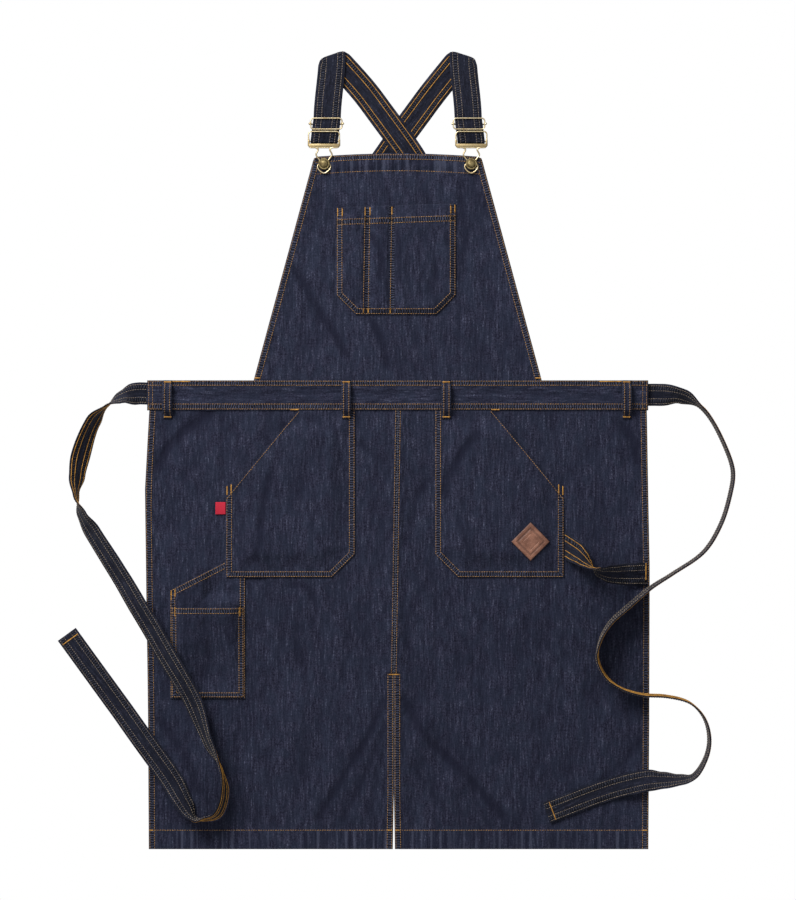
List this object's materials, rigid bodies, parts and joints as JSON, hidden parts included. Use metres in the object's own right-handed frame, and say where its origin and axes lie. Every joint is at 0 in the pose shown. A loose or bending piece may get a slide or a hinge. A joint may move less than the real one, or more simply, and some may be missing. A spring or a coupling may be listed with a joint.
{
  "type": "carpenter apron",
  "caption": "Denim work apron laid flat, with a bib, crossed shoulder straps, waist ties, hand pockets, a rule pocket and a hammer loop.",
  "frame": {"origin": "below the middle of the whole apron, ties included, on the surface it lies on", "axes": "+Y up the apron from hem to straps, +X to the right as seen from the front, +Z out of the surface it lies on"},
  "size_m": [0.8762, 1.039, 0.0416],
  "materials": {
    "denim": "dark indigo denim, twill weave",
    "webbing": "dark indigo denim strap, doubled and topstitched",
    "brass": "pale brass wire, polished",
    "bronze": "antique brass, satin",
    "leather": "brown leather, smooth",
    "tag_red": "red woven tape"
  },
  "bodies": {
    "root": {"bib": "denim", "waistband": "denim", "skirt_left": "denim", "skirt_right": "denim", "bib_pocket": "denim", "hand_pocket_left": "denim", "hand_pocket_right": "denim", "tool_pocket_outer": "denim", "tool_pocket_inner": "denim", "hammer_loop": "webbing", "belt_loop_1": "denim", "belt_loop_2": "denim", "belt_loop_3": "denim", "belt_loop_4": "denim", "waist_tie_left": "webbing", "waist_tie_right": "webbing", "shoulder_strap_left": "webbing", "strap_slider_left": "brass", "strap_buckle_left": "brass", "bib_button_left": "bronze", "shoulder_strap_right": "webbing", "strap_slider_right": "brass", "strap_buckle_right": "brass", "bib_button_right": "bronze", "leather_patch": "leather", "side_tag": "tag_red"}
  },
  "joints": []
}
